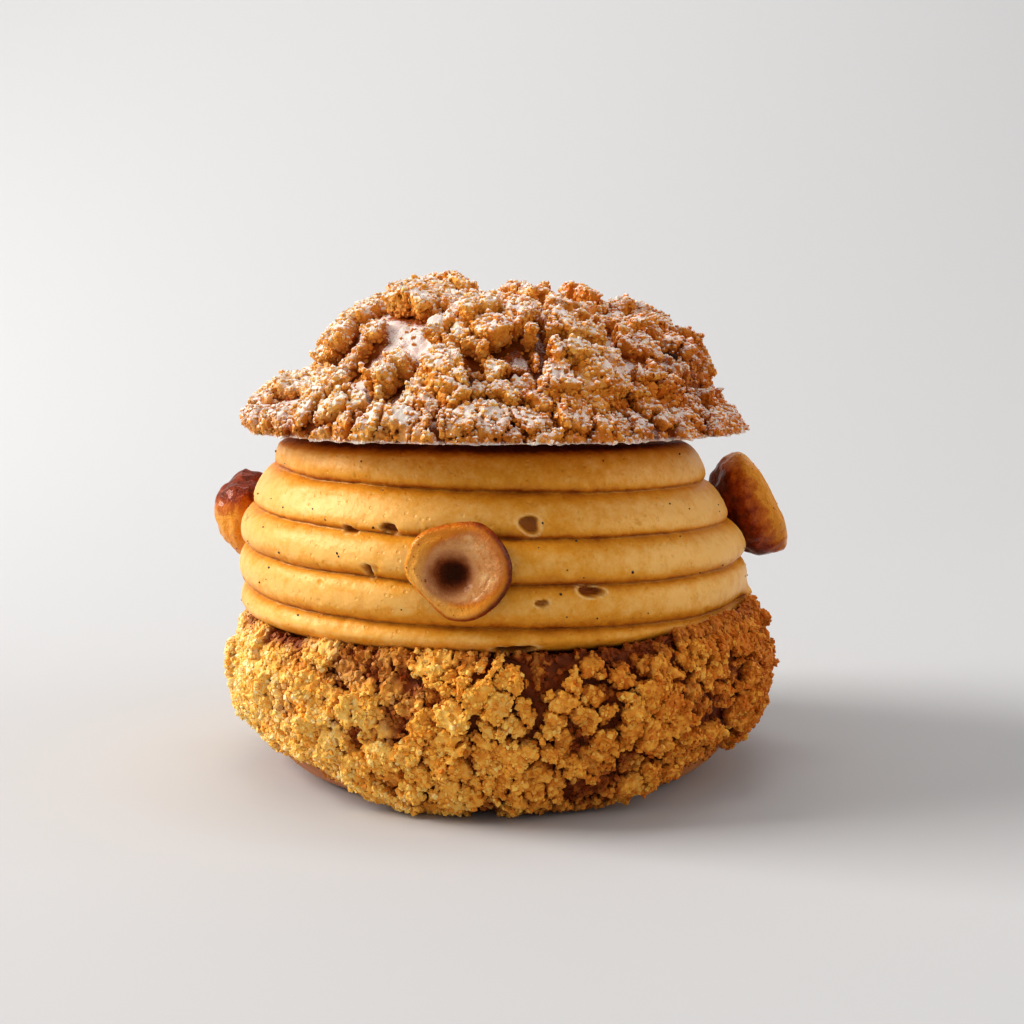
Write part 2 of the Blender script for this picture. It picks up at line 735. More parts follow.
def skirt_height(angle):
    """Height of the crust's lower edge: almost down at the front, higher at the sides and behind."""
    return (0.5 + 13.5 * np.clip(1 - np.cos(angle - FRONT), 0, 0.34)) * MM


def keep_off_cream(piece):
    """Pushes points of the rim out of the cream."""
    points = points_of(piece)
    x, y = points[:, 0] - CREAM_CENTRE.x, points[:, 1] - CREAM_CENTRE.y
    radius = np.maximum(np.hypot(x, y), 1e-6)
    least = cream_envelope(points[:, 2]) + 0.12 * MM
    inside = (radius < least) & (points[:, 2] > SHELF_HEIGHT - 0.6 * MM)
    push = np.where(inside, least / radius, 1.0)
    points[:, 0] = CREAM_CENTRE.x + x * push
    points[:, 1] = CREAM_CENTRE.y + y * push
    points[:, 2] = np.maximum(points[:, 2], 0.05 * MM)
    put_points(piece, points)


def base_craquelin(context):
    sizes = context.scene.bun_sizes
    return Craquelin(
        plate=sizes.base_plate,
        flake=2.8 * MM,
        grain=sizes.base_grain,
        thin=1.0 * MM,
        thick=2.6 * MM,
        crack=sizes.base_crack,
        tilt=0.12,
        lifted=0.5 * MM,
        wrinkle=0.28 * MM,
        lumpy=0.85 * MM,
        pores=0.07,
        seed=5,
    )


class BUN_OT_base(bpy.types.Operator):
    """Bake the base: choux below, and a craquelin crust round its side"""

    bl_idname = "bun.base"
    bl_label = "Base"

    def execute(self, context):
        step = 0.25 * MM
        outline = evenly(base_outline(), step)
        rows = round(2 * math.pi * (BELLY_RADIUS - 1.5 * MM) / step)
        turn = (np.arange(rows) * 2 * math.pi / rows)[:, None]
        angle = np.broadcast_to(turn, (rows, len(outline)))
        radius = np.broadcast_to(outline[:, 0], angle.shape)
        height = np.broadcast_to(outline[:, 1], angle.shape)
        places = base_wall(radius, height, angle)
        flat = places.reshape(-1, 3)
        ragged = 0.6 * MM * lattice_noise(flat, 3 * MM, 31) + 0.35 * MM * lattice_noise(flat, 0.9 * MM, 32)
        inner = (len(outline) - 1 - np.arange(len(outline)))[None, :] * step - 0.6 * MM
        edge = np.minimum(height - skirt_height(angle) + ragged.reshape(angle.shape), inner)
        dense = smooth_step(-0.2, 0.85, np.cos(angle - math.radians(205)))
        on_rim = smooth_step(SHELF_HEIGHT - 2.2 * MM, SHELF_HEIGHT - 0.5 * MM, height)
        near_rim = smooth_step(SHELF_HEIGHT - 3.5 * MM, SHELF_HEIGHT - 1.2 * MM, height)
        dense = np.maximum(dense, 0.75 * near_rim)
        # The crust thins out towards its lower edge, and is nearly worn off by the rim at the left.
        thinned = smooth_step(0.0, 3.5 * MM, height - skirt_height(angle) + 0.6 * MM)
        worn = ((angle % (2 * math.pi) - math.radians(245)) / math.radians(15)) ** 2
        worn = np.exp(-worn - ((height - 19.6 * MM) / (1.9 * MM)) ** 2)
        full = (1 - 0.55 * on_rim) * (0.5 + 0.5 * thinned) * (1 - 0.72 * worn)
        plan = base_craquelin(context)
        pieces = grow_crust("base_crust", places, True, step, plan, edge, dense, full, split=0)
        floor = 0.5 * MM
        pieces.append(scatter_crumbs("base", pieces, 0.5 * MM, floor, 11))
        pieces += scatter_grains("base", pieces[:2], floor, 13)
        material = crust_material("craquelin_crust", context)
        for piece in pieces:
            keep_off_cream(piece)
            finish_piece(piece, material, "craquelin", "choux_base", smooth=False)
        finish_piece(base_choux(), choux_material(), "craquelin", "choux_base")
        return {"FINISHED"}


# ---- Cap -------------------------------------------------------------------------------------

# Radius and height of the cap's outside in mm, from its top to its brim, on its left and on its right.
CAP_LEFT = [
    (0, 70.9),
    (8, 70.3),
    (14.5, 69.0),
    (19.8, 67.0),
    (23.4, 64.4),
    (24.4, 61.4),
    (24.6, 59.2),
    (27.0, 57.2),
    (35.4, 54.8),
    (37.0, 51.0),
    (35.2, 47.4),
]
CAP_RIGHT = [
    (0, 70.9),
    (6, 70.1),
    (14, 68.2),
    (22.4, 65.2),
    (29.0, 62.0),
    (32.6, 58.4),
    (32.4, 54.6),
    (34.6, 51.2),
    (36.9, 47.4),
]


def cap_outline(outside, step):
    """An outline of the cap's choux: evened out, drawn in by the crust's depth, step apart."""
    smooth = evenly(np.array(outside) * MM, 0.5 * MM)
    for _ in range(22):
        smooth[1:-1] = (smooth[:-2] + 2 * smooth[1:-1] + smooth[2:]) / 4
    way = np.gradient(smooth, axis=0)
    way /= np.linalg.norm(way, axis=1)[:, None]
    out = np.stack([-way[:, 1], way[:, 0]], axis=1)
    share = smooth_step(50.0 * MM, 54.5 * MM, smooth[:, 1])
    inset = BRIM_INSET + (CAP_INSET - BRIM_INSET) * share
    drawn = smooth - out * inset[:, None]
    drawn[0, 0] = 0.0
    drawn = drawn[drawn[:, 0] >= 0]
    return evenly(drawn, step)


def cap_places(across, along, step):
    """Places on the cap's choux for steps across and along its top, rolled down over its sides."""
    left, right = cap_outline(CAP_LEFT, step), cap_outline(CAP_RIGHT, step)
    count = min(len(left), len(right))
    down = np.hypot(across, along)
    angle = np.arctan2(along, across)
    place = np.clip(down / step, 0, count - 1.001)
    low = np.floor(place).astype(int)
    share = (place - low)[..., None]
    first = left[low] * (1 - share) + left[low + 1] * share
    second = right[low] * (1 - share) + right[low + 1] * share
    rightness = ((1 + np.cos(angle)) / 2)[..., None]
    radius, height = np.moveaxis(first * (1 - rightness) + second * rightness, -1, 0)
    place = round_places(radius, angle, height)
    swell = 0.9 * MM * lattice_noise(place.reshape(-1, 3), 14 * MM, 81).reshape(radius.shape)
    factor = 1 + swell / CAP_RADIUS * smooth_step(0, 12 * MM, down)
    place = place * np.stack([factor, factor, np.ones_like(factor)], axis=-1)
    place[..., 2] += 0.8 * swell * smooth_step(52 * MM, 58 * MM, height)
    return place + CAP_AXIS, (count - 1.5) * step - down


def cap_choux():
    """The choux under the cap's crust, with a flat underside."""
    step = 1.0 * MM
    outline = cap_outline(CAP_LEFT, step)
    turns, rings = 200, min(len(outline), len(cap_outline(CAP_RIGHT, step))) - 2
    angle = np.arange(turns) * 2 * math.pi / turns
    down = (np.arange(1, rings + 1) * step)[:, None]
    shell = cap_places(down * np.cos(angle), down * np.sin(angle), step)[0]
    drawn_in = (0.4 + 1.2 * smooth_step(51.5 * MM, 48.5 * MM, shell[..., 2])) * MM
    shell -= CAP_AXIS
    radius = np.maximum(np.hypot(shell[..., 0], shell[..., 1]), 1 * MM)
    shell[..., :2] *= (1 - drawn_in / radius)[..., None]
    shell += CAP_AXIS
    shell[..., 2] -= CHOUX_DROP
    underside = CREAM_HIGH.z + 0.3 * MM
    under = []
    for share in (0.96, 0.8, 0.5, 0.2):
        ring = CAP_AXIS + (shell[-1] - CAP_AXIS) * share
        ring[:, 2] = underside
        under.append(ring)
    rows = np.concatenate([shell, np.array(under)])
    top = cap_places(np.zeros(1), np.zeros(1), step)[0][0] - (0, 0, CHOUX_DROP)
    bottom = CAP_AXIS + (0, 0, underside)
    points = np.concatenate([rows.reshape(-1, 3), [top, bottom]])
    ids = np.arange(len(rows) * turns).reshape(len(rows), turns)
    follow = np.roll(ids, -1, axis=1)
    walls = np.stack([ids[:-1], ids[1:], follow[1:], follow[:-1]], axis=-1).reshape(-1, 4)
    triangles = [walls[:, [0, 1, 2]], walls[:, [0, 2, 3]]]
    triangles.append(np.stack([np.full(turns, len(points) - 2), ids[0], follow[0]], axis=1))
    triangles.append(np.stack([np.full(turns, len(points) - 1), follow[-1], ids[-1]], axis=1))
    return mesh_piece("cap_choux", points, np.concatenate(triangles))


def sky_share(points, normals, trees, rng):
    """Share of the falling sugar that reaches each point, from 0 to 1."""
    reached = np.zeros(len(points))
    tries = 4
    for _ in range(tries):
        aim = rng.normal(size=3) * 0.16
        way = Vector((aim[0] - 0.05, aim[1], 1.0)).normalized()
        start = points + normals * 0.15 * MM
        for number, place in enumerate(start):
            spot = Vector(place)
            reached[number] += all(tree.ray_cast(spot, way, 0.04)[0] is None for tree in trees) / tries
    return reached


def softened(piece, values, times):
    """Values of a piece's points, each evened out with those of its neighbours."""
    ends = np.zeros(len(piece.data.edges) * 2, np.int32)
    piece.data.edges.foreach_get("vertices", ends)
    first, last = ends.reshape(-1, 2).T
    count = len(values)
    near = 1 + np.bincount(first, minlength=count) + np.bincount(last, minlength=count)
    for _ in range(times):
        total = np.bincount(first, values[last], count) + np.bincount(last, values[first], count)
        values = (values + total) / near
    return values


def tree_of(piece):
    points = [Vector(point) for point in points_of(piece)]
    return bvhtree.BVHTree.FromPolygons(points, triangles_of(piece).tolist())


def dust(piece, trees, corners, seed):
    """Icing sugar falls on what faces up and has nothing above it, and clings to the brim.

    corners is how many points each crumb has, or 0 for a crust.
    """
    points, normals = points_of(piece), normals_of(piece)
    rng = np.random.default_rng(seed)
    facing = smooth_step(0.0, 0.9, normals[:, 2])
    if corners:
        crumbs = points.reshape(-1, corners, 3)
        highest = crumbs[np.arange(len(crumbs)), np.argmax(crumbs[..., 2], axis=1)]
        upward = np.tile((0.0, 0.0, 1.0), (len(crumbs), 1))
        fallen = np.repeat(sky_share(highest, upward, trees, rng), corners) * facing
    else:
        fallen = softened(piece, sky_share(points, normals, trees, rng) * facing, 2)
    brim = 0.75 * smooth_step(1.1 * MM, 0.5 * MM, points[:, 2] - CREAM_HIGH.z)
    add_value(piece, "sugar", np.maximum(fallen, brim))


def cap_craquelin(context):
    sizes = context.scene.bun_sizes
    return Craquelin(
        plate=sizes.cap_plate,
        flake=3.2 * MM,
        grain=sizes.cap_grain,
        thin=1.5 * MM,
        thick=4.1 * MM,
        crack=sizes.cap_crack,
        tilt=0.17,
        lifted=1.1 * MM,
        wrinkle=0.44 * MM,
        lumpy=0.7 * MM,
        pores=0.06,
        seed=8,
    )


class BUN_OT_cap(bpy.types.Operator):
    """Bake the cap: a choux dome under coarse craquelin, dusted with icing sugar"""

    bl_idname = "bun.cap"
    bl_label = "Cap"

    def execute(self, context):
        step = 0.26 * MM
        reach = 48 * MM
        line = np.arange(-reach, reach, step)
        across, along = np.meshgrid(line, line, indexing="ij")
        places, edge = cap_places(across, along, step)
        dense = 0.75 * smooth_step(57 * MM, 51 * MM, places[..., 2])
        full = 1 - 0.42 * smooth_step(54 * MM, 50.5 * MM, places[..., 2])
        plan = cap_craquelin(context)
        crusts = grow_crust("cap_crust", places, False, step, plan, edge, dense, full, split=1)
        floor = CREAM_HIGH.z + 0.35 * MM
        trees = [tree_of(crust) for crust in crusts]
        crumbs = scatter_crumbs("cap", crusts, 0.52 * MM, floor, 12, SUGARED_LIFT)
        pieces = [(crusts[0], 0), (crusts[1], 0), (crumbs, CRUMB_POINTS)]
        for grains in scatter_grains("cap", crusts, floor, 14, SUGARED_LIFT):
            pieces.append((grains, GRAIN_POINTS))
        material = crust_material("sugared_crust", context, sugared=True)
        for number, (piece, corners) in enumerate(pieces):
            points = points_of(piece)
            ragged = 0.25 * MM * (1 + lattice_noise(points, 1.1 * MM, 43))
            points[:, 2] = np.maximum(points[:, 2], floor + ragged)
            put_points(piece, points)
            dust(piece, trees, corners, 17 + number)
            finish_piece(piece, material, "sugared_craquelin", "choux_cap", smooth=False)
        finish_piece(cap_choux(), choux_material(), "sugared_craquelin", "choux_cap")
        return {"FINISHED"}


# ---- Cream -----------------------------------------------------------------------------------


def rope_bulge(share):
    """Outline of one turn of rope, from 0 in a groove to 1 at its crest; share runs from 0 to 1."""
    off_crest = abs(2 * share - 1)
    return max(0.0, 1 - off_crest**2.3) ** (1 / 2.3)


def cream_envelope(height):
    """Crest radius of the coil: nearly upright below, drawing in towards the cap."""
    barrel = CREAM_RADIUS - CREAM_TAPER * smooth_step(TAPER_LOW, TAPER_HIGH, height)
    tuck = np.clip((SHELF_HEIGHT + 3.0 * MM - height) / (3.0 * MM), 0.0, 1.0)
    seated = CREAM_RADIUS - (CREAM_RADIUS - CREAM_SEAT_RADIUS) * tuck**2.2
    return np.minimum(barrel, seated)


# The large air holes in front: angle round the cream in degrees, how many turns of rope up from the
# lowest groove, then width, height and depth in mm.
AIR_HOLES = [
    (-80, 2.3, 3.4, 1.9, 0.9),
    (-70, 0.8, 3.1, 1.5, 1.1),
    (-80, 0.6, 1.6, 1.1, 0.7),
    (-110, 2.2, 2.7, 1.1, 1.2),
    (-120, 2.1, 2.4, 1.1, 0.7),
    (-85, -0.5, 4.8, 1.3, 1.5),
]

# The holes round the other sides: ranges of their angle, height in mm, width, height and depth.
OTHER_HOLES = 14
OTHER_HOLE_RANGES = ((10, 250), (24, 45), (1.2, 3.2), (0.8, 1.6), (0.6, 1.4))
TINY_HOLES = 170
SEED_COUNT = 125


def level_of_turn(turns):
    """Height in mm of a place that lies this many turns of rope above the lowest groove."""
    return (GROOVE_HEIGHT + turns * ROPE_PITCH) / MM


def air_holes(rng):
    """The large air holes in front, some more round the other sides, and many tiny ones."""
    holes = [(angle, level_of_turn(turns), *size) for angle, turns, *size in AIR_HOLES]
    for _ in range(OTHER_HOLES):
        holes.append(tuple(rng.uniform(*span) for span in OTHER_HOLE_RANGES))
    for _ in range(TINY_HOLES):
        wide = 0.35 + 0.75 * rng.random() ** 2
        holes.append((rng.uniform(-180, 180), rng.uniform(23, 47), wide, 0.75 * wide, 0.24 * wide))
    return holes


def rope_coil(name):
    """The bare coil: a wavy outline turned about Z while it sinks by one turn of rope."""
    points_per_turn = 24
    first = CREAM_LOW.z - 2 * ROPE_PITCH
    offset = GROOVE_HEIGHT + ROPE_PITCH * FRONT / (2 * math.pi)
    outline = []
    for i in range((TURNS + 4) * points_per_turn + 1):
        height = first + ROPE_PITCH * i / points_per_turn
        share = ((height - offset) / ROPE_PITCH) % 1.0
        outline.append((CREAM_RADIUS - GROOVE_DEPTH * (1 - rope_bulge(share)), height))
    piece = turned_piece(name, outline, ROPE_STEPS, climb=-ROPE_PITCH)
    only_select(piece)
    for level, side in ((CREAM_LOW.z, -1.0), (CREAM_HIGH.z, 1.0)):
        bpy.ops.object.mode_set(mode="EDIT")
        bpy.ops.mesh.select_all(action="SELECT")
        bpy.ops.mesh.bisect(plane_co=(0, 0, level), plane_no=(0, 0, side), use_fill=True, clear_outer=True)
        bpy.ops.object.mode_set(mode="OBJECT")
    return piece


def build_cream():
    """The coil shaped into its barrel, with its air holes, its smear and the values for its material."""
    piece = rope_coil("piped_cream")
    points = points_of(piece)
    radius = np.hypot(points[:, 0], points[:, 1])
    angle = np.arctan2(points[:, 1], points[:, 0])
    height = points[:, 2].copy()
    groove = CREAM_RADIUS - radius
    open_side = smooth_step(SHELF_HEIGHT - 0.5 * MM, SHELF_HEIGHT + 1.2 * MM, height)
    # The turns hang a little in front, and each swells and thins along its way.
    between = smooth_step(21.5 * MM, 26 * MM, height) * smooth_step(48 * MM, 44 * MM, height)
    points[:, 2] += 0.35 * MM * (1 - 2 * smooth_step(-1, 1, np.cos(angle - FRONT))) * between
    ring = np.stack([np.cos(angle) * 3, np.sin(angle) * 3, height / (6 * MM)], axis=1)
    points[:, 2] += 0.16 * MM * lattice_noise(ring * 1.5, 1.0, 51) * between
    uneven = 0.36 * MM * lattice_noise(ring, 1.0, 50) * between
    radius = cream_envelope(height) - groove * open_side + uneven
    sunk, inside, brim = np.zeros(len(points)), np.zeros(len(points)), np.zeros(len(points))
    for hole_angle, level, wide, tall, deep in air_holes(np.random.default_rng(21)):
        turn = (angle - math.radians(hole_angle) + math.pi) % (2 * math.pi) - math.pi
        across = turn * CREAM_RADIUS / (wide * MM / 2)
        upward = (height - level * MM) / (tall * MM / 2)
        near = (np.abs(across) < 1.8) & (np.abs(upward) < 1.8)
        out = np.hypot(across[near], upward[near])
        way = np.arctan2(upward[near], across[near])
        out *= 1 + 0.16 * np.sin(2 * way + level) + 0.1 * np.sin(3 * way + 2 * level)
        sunk[near] = np.maximum(sunk[near], deep * MM * (1 - smooth_step(0.72, 1.02, out)))
        if wide > 1.15:
            inside[near] = np.maximum(inside[near], (1 - smooth_step(0.72, 0.98, out)) * min(1.0, deep))
            brim[near] = np.maximum(brim[near], np.exp(-(((out - 1.13) / 0.1) ** 2)))
    radius += 0.07 * MM * brim - sunk
    # The top tucks in under the cap, and a smear of cream lies on the rim at the right.
    under_cap = smooth_step(CREAM_HIGH.z - 1.5 * MM, CREAM_HIGH.z - 0.3 * MM, height)
    radius -= 0.9 * MM * under_cap
    smear = ((angle + math.radians(7)) / math.radians(4.5)) ** 2
    radius += 2.4 * MM * np.exp(-smear - ((height - 24.2 * MM) / (1.5 * MM)) ** 2)
    lean = CREAM_LEAN * smooth_step(31 * MM, 38 * MM, height)
    points[:, 0] = CREAM_CENTRE.x - lean + radius * np.cos(angle)
    points[:, 1] = CREAM_CENTRE.y + radius * np.sin(angle)
    rough = 0.045 * MM * noise_vectors(points, 1.4 * MM, 60)
    rough += 0.035 * MM * noise_vectors(points, 0.6 * MM, 63)
    rough += (groove / GROOVE_DEPTH)[:, None] * 0.13 * MM * noise_vectors(points, 0.9 * MM, 66)
    points += rough * open_side[:, None]
    put_points(piece, points)
    underside = 0.3 * smooth_step(0.1, -0.75, normals_of(piece)[:, 2]) * open_side
    stained = under_cap + 0.2 * smooth_step(CREAM_HIGH.z - 6.5 * MM, CREAM_HIGH.z - 2 * MM, height)
    stained += 0.2 * np.exp(-(((angle + math.radians(76)) / math.radians(20)) ** 2)) * open_side
    stained += 1.3 * smooth_step(SHELF_HEIGHT + 1.1 * MM, SHELF_HEIGHT + 0.1 * MM, height)
    shade = (groove / GROOVE_DEPTH) ** 0.95 * open_side + underside + stained
    add_value(piece, "groove", np.clip(shade, 0, 1.4))
    add_value(piece, "hole", inside)
    add_value(piece, "brim", np.clip(brim - inside, 0, 1))
    return piece


def vanilla_seeds(cream):
    """Tiny dark seeds in the skin of the cream."""
    rng = np.random.default_rng(23)
    tree = tree_of(cream)
    spots = [(rng.uniform(-180, 180), rng.uniform(23, 46)) for _ in range(SEED_COUNT)]
    places = []
    for angle, level in spots:
        way = around(math.radians(angle))
        start = Vector((CREAM_CENTRE.x, CREAM_CENTRE.y, level * MM)) + way * 60 * MM
        hit = tree.ray_cast(start, -way, 0.1)[0]
        if hit is not None:
            places.append(hit)
    places = np.array(places)
    radii = (0.10 + 0.10 * rng.random(len(places)) ** 2) * MM
    return crumb_piece("vanilla_seeds", crumb_kinds(), places, radii, rng, tone=rng.random(len(places)))


class BUN_OT_cream(bpy.types.Operator):
    """Pipe the praline cream as one coiled rope, with its air holes and vanilla seeds"""

    bl_idname = "bun.cream"
    bl_label = "Praline cream"

    def execute(self, context):
        piece = build_cream()
        seeds = vanilla_seeds(piece)
        finish_piece(piece, cream_material(context), "praline_cream", "praline_cream")
        finish_piece(seeds, seed_material(), "praline_cream", "praline_cream", smooth=False)
        return {"FINISHED"}


# ---- Hazelnuts -------------------------------------------------------------------------------


class Nut:
    """Half a hazelnut: its place round the cream, how it is turned, its size and its shape."""

    def __init__(self, node, angle, height, stand, tilt, width, length, depth, **shape):
        self.node = node
        self.angle = math.radians(angle)
        self.height = height * MM
        self.stand = stand * MM
        self.tilt = math.radians(tilt)
        self.width = width * MM
        self.length = length * MM
        self.depth = depth * MM
        self.bowl = shape["bowl"] * MM  # how deep the seed's hollow is
        self.dome = shape["dome"] * MM  # how far the cut face stands up in its middle
        self.worn_from = shape["worn_from"]  # share of the radius past which the edge is rounded
        self.worn_by = shape["worn_by"] * MM
        self.lumps = shape["lumps"] * MM
        self.chords = shape["chords"]  # flat sides: direction in degrees and share of the radius
        self.boxy = shape["boxy"]  # 1 for a round back, and less for a squarer one
        self.amber = shape["amber"]  # where the caramel is light
        self.seed = shape["seed"]

    def place(self):
        radius = float(cream_envelope(self.height)) + self.stand
        spot = Vector((CREAM_CENTRE.x, CREAM_CENTRE.y, self.height)) + around(self.angle) * radius
        turn = Matrix.Rotation(self.angle, 4, "Z") @ Matrix.Rotation(math.pi / 2 - self.tilt, 4, "Y")
        return Matrix.Translation(spot) @ turn


CARAMEL_SPLINTERS = 36  # on each half

CUPPED = {"worn_from": 0.90, "worn_by": 0.65, "lumps": 0.12, "boxy": 1.0, "amber": "rim"}
FRONT_SHAPE = {"bowl": 2.1, "dome": 0.0, "seed": 1, "chords": [(222, 0.84), (100, 0.97)], **CUPPED}
BACK_SHAPE = {"bowl": 1.8, "dome": 0.0, "seed": 3, "chords": [(40, 0.86)], **CUPPED}
SLAB = {"worn_from": 0.84, "worn_by": 1.0, "lumps": 0.5, "boxy": 0.82, "amber": "outside"}
RIGHT_SHAPE = {"bowl": 0.0, "dome": 0.15, "seed": 2, "chords": [(95, 0.93)], **SLAB}
KNOBBLY = {"worn_from": 0.30, "worn_by": 2.2, "lumps": 0.8, "boxy": 1.0, "amber": "below"}
LEFT_SHAPE = {"bowl": 0.0, "dome": 2.2, "seed": 4, "chords": [(60, 0.84), (200, 0.88)], **KNOBBLY}

# Angle round the cream, height, how far the cut face stands off the cream, its tilt, then the half
# nut's width, length and depth. Angles are in degrees and lengths in mm.
NUTS = [
    Nut("hazelnut_front", -96, 33.4, 2.2, 6, 13.1, 12.4, 6.0, **FRONT_SHAPE),
    Nut("hazelnut_right", 9, 37.7, 6.6, 26, 12.8, 17.4, 7.4, **RIGHT_SHAPE),
    Nut("hazelnut_back", 86, 34.6, 2.8, -5, 13.2, 13.0, 6.2, **BACK_SHAPE),
    Nut("hazelnut_left", 168, 35.1, 5.0, -4, 12.4, 13.8, 6.6, **LEFT_SHAPE),
]


def nut_outline(nut):
    """Radius and height from the middle of the cut face out over its edge and down the back."""
    outline = []
    face_steps, back_steps = 44, 32
    for i in range(face_steps + 1):
        share = i / face_steps
        worn = max(0.0, (share - nut.worn_from) / (1 - nut.worn_from))
        bowl = nut.bowl * (1 - float(smooth_step(0.0, 0.84, share)))
        outline.append((share * KERNEL_RADIUS, nut.dome * (1 - share**2) - bowl - nut.worn_by * worn**2.2))
    for i in range(1, back_steps + 1):
        turn = math.pi / 2 * i / back_steps
        height = -nut.worn_by - (nut.depth - nut.worn_by) * math.sin(turn) ** nut.boxy
        outline.append((KERNEL_RADIUS * max(0.0, math.cos(turn)) ** nut.boxy, height))
    return outline


def build_nut(nut):
    """A hazelnut half with its outline, relief and place, and the values for its material."""
    piece = turned_piece(nut.node + "_half", nut_outline(nut), NUT_STEPS)
    points = points_of(piece)
    share = np.hypot(points[:, 0], points[:, 1]) / KERNEL_RADIUS
    level = points[:, 2].copy()
    right, up = points[:, 1], -points[:, 0]
    turn = np.arctan2(up, right)
    back = 0.5 * (nut.depth - nut.worn_by) * np.sqrt(np.maximum(0, 1 - share**2))
    face = level > -nut.worn_by - 0.01 * MM - back
    outline = 1.02 + 0.012 * np.sin(2 * turn + nut.seed) + 0.012 * np.sin(5 * turn + 2 * nut.seed)
    for direction, flat in nut.chords:
        toward = np.cos(turn - math.radians(direction))
        straight = np.where(toward > 0.05, flat / np.maximum(toward, 0.05), 9)
        outline = -np.log(np.exp(-18 * outline) + np.exp(-18 * straight)) / 18
    outline = 1 + (outline - 1) * smooth_step(0.25, 0.9, share)
    inner = np.where(face, 1 - share, 0.0) * (nut.bowl > 0)
    right = share * np.cos(turn) * outline * nut.width / 2 - 0.10 * nut.width / 2 * inner
    up = share * np.sin(turn) * outline * nut.length / 2 - 0.08 * nut.length / 2 * inner
    if nut.bowl > 0:
        crease = np.exp(-(((share - 0.63) / 0.035) ** 2))
        crease *= smooth_step(0.5, 0.9, np.cos(turn + math.radians(42)))
        rings = 0.05 * MM * np.sin(share * 30 + 2 * np.cos(turn)) * smooth_step(0.25, 0.5, share)
        level += face * (rings - 0.22 * MM * crease)
        in_plane = np.stack([right, up, 0 * up], axis=1)
        level += face * 0.16 * MM * lattice_noise(in_plane, 2.2 * MM, nut.seed + 3)
    points = np.stack([-up, right, level], axis=1)
    away = points / np.maximum(np.linalg.norm(points, axis=1), 1e-6)[:, None]
    rough = nut.lumps * lattice_noise(points, 3.0 * MM, nut.seed)
    rough += 0.4 * nut.lumps * lattice_noise(points, 1.2 * MM, nut.seed + 5)
    caramel = np.where(face & (nut.bowl > 0), 0.35, 1.0)
    points += away * (rough * caramel * smooth_step(0.1, 0.5, share + (level < -1 * MM)))[:, None]
    points += 0.05 * MM * noise_vectors(points, 0.7 * MM, nut.seed + 7)
    matrix = np.array(nut.place())
    put_points(piece, points @ matrix[:3, :3].T + matrix[:3, 3])
    band_from = 0.56 - 0.14 * np.cos(turn - math.radians(200))
    edge_band = smooth_step(band_from, band_from + 0.24, share)
    cut = np.zeros(len(points))
    upward = up / (nut.length / 2)
    if nut.amber == "rim":
        on_face = 0.25 + 0.45 * np.cos(turn - math.radians(165))
        behind = -0.35 + 0.4 * np.cos(turn - math.radians(150))
        amber = np.where(face, on_face, behind) + 0.25 * edge_band * face
        cut = face * (1 - smooth_step(0.88, 0.97, share))
    elif nut.amber == "outside":
        amber = 0.12 + 0.98 * smooth_step(-6.0 * MM, -0.6 * MM, level)
        amber -= 0.4 * smooth_step(-0.5, -1.0, upward)
    else:
        amber = 1.1 - 0.95 * smooth_step(-0.1, 0.55, upward)
    add_value(piece, "cut", cut)
    add_value(piece, "amber", amber)
    off = np.hypot(right / (nut.width / 2) + 0.06, upward + 0.06)
    off *= 1 - 0.2 * np.cos(turn - math.radians(195))
    hollow = face * (nut.bowl > 0) * (1 - smooth_step(0.02, 0.66, off))
    add_value(piece, "hollow", hollow)
    add_value(piece, "edge", face * edge_band * (0.7 + 0.3 * np.cos(turn - math.radians(215))))
    return piece


def caramel_crumbs(halves):
    """Splinters of caramel that stick to the rims of the hazelnut halves."""
    rng = np.random.default_rng(31)
    places = []
    for half in halves:
        points = points_of(half)
        weight = (0.05 + (values_of(half, "edge") > 0.55)) * (values_of(half, "hollow") < 0.3)
        chosen = rng.choice(len(points), size=CARAMEL_SPLINTERS, p=weight / weight.sum())
        places.append(points[chosen])
    places = np.concatenate(places)
    count = len(places)
    radii = (0.05 + 0.09 * rng.random(count) ** 2) * MM
    values = {"cut": np.zeros(count), "hollow": np.zeros(count), "edge": np.zeros(count)}
    values["amber"] = rng.random(count)
    return crumb_piece("caramel_crumbs", grain_kinds(), places, radii, rng, **values)


class BUN_OT_hazelnuts(bpy.types.Operator):
    """Halve and caramelise the hazelnuts"""

    bl_idname = "bun.hazelnuts"
    bl_label = "Hazelnuts"

    def execute(self, context):
        material = nut_material(context)
        halves = [build_nut(nut) for nut in NUTS]
        crumbs = caramel_crumbs(halves)
        for half, nut in zip(halves, NUTS):
            finish_piece(half, material, "caramelised_hazelnut", nut.node)
        nodes = [nut.node for nut in NUTS]
        finish_piece(crumbs, material, "caramelised_hazelnut", *nodes, smooth=False)
        return {"FINISHED"}


# ---- Materials -------------------------------------------------------------------------------


WHITE = (1.0, 1.0, 1.0)

# What the gloss of each kind of food is tinted with.
CRUST_TINT = (1.0, 0.7, 0.42)
CREAM_TINT = (1.0, 0.74, 0.42)
CARAMEL_TINT = (1.0, 0.52, 0.22)


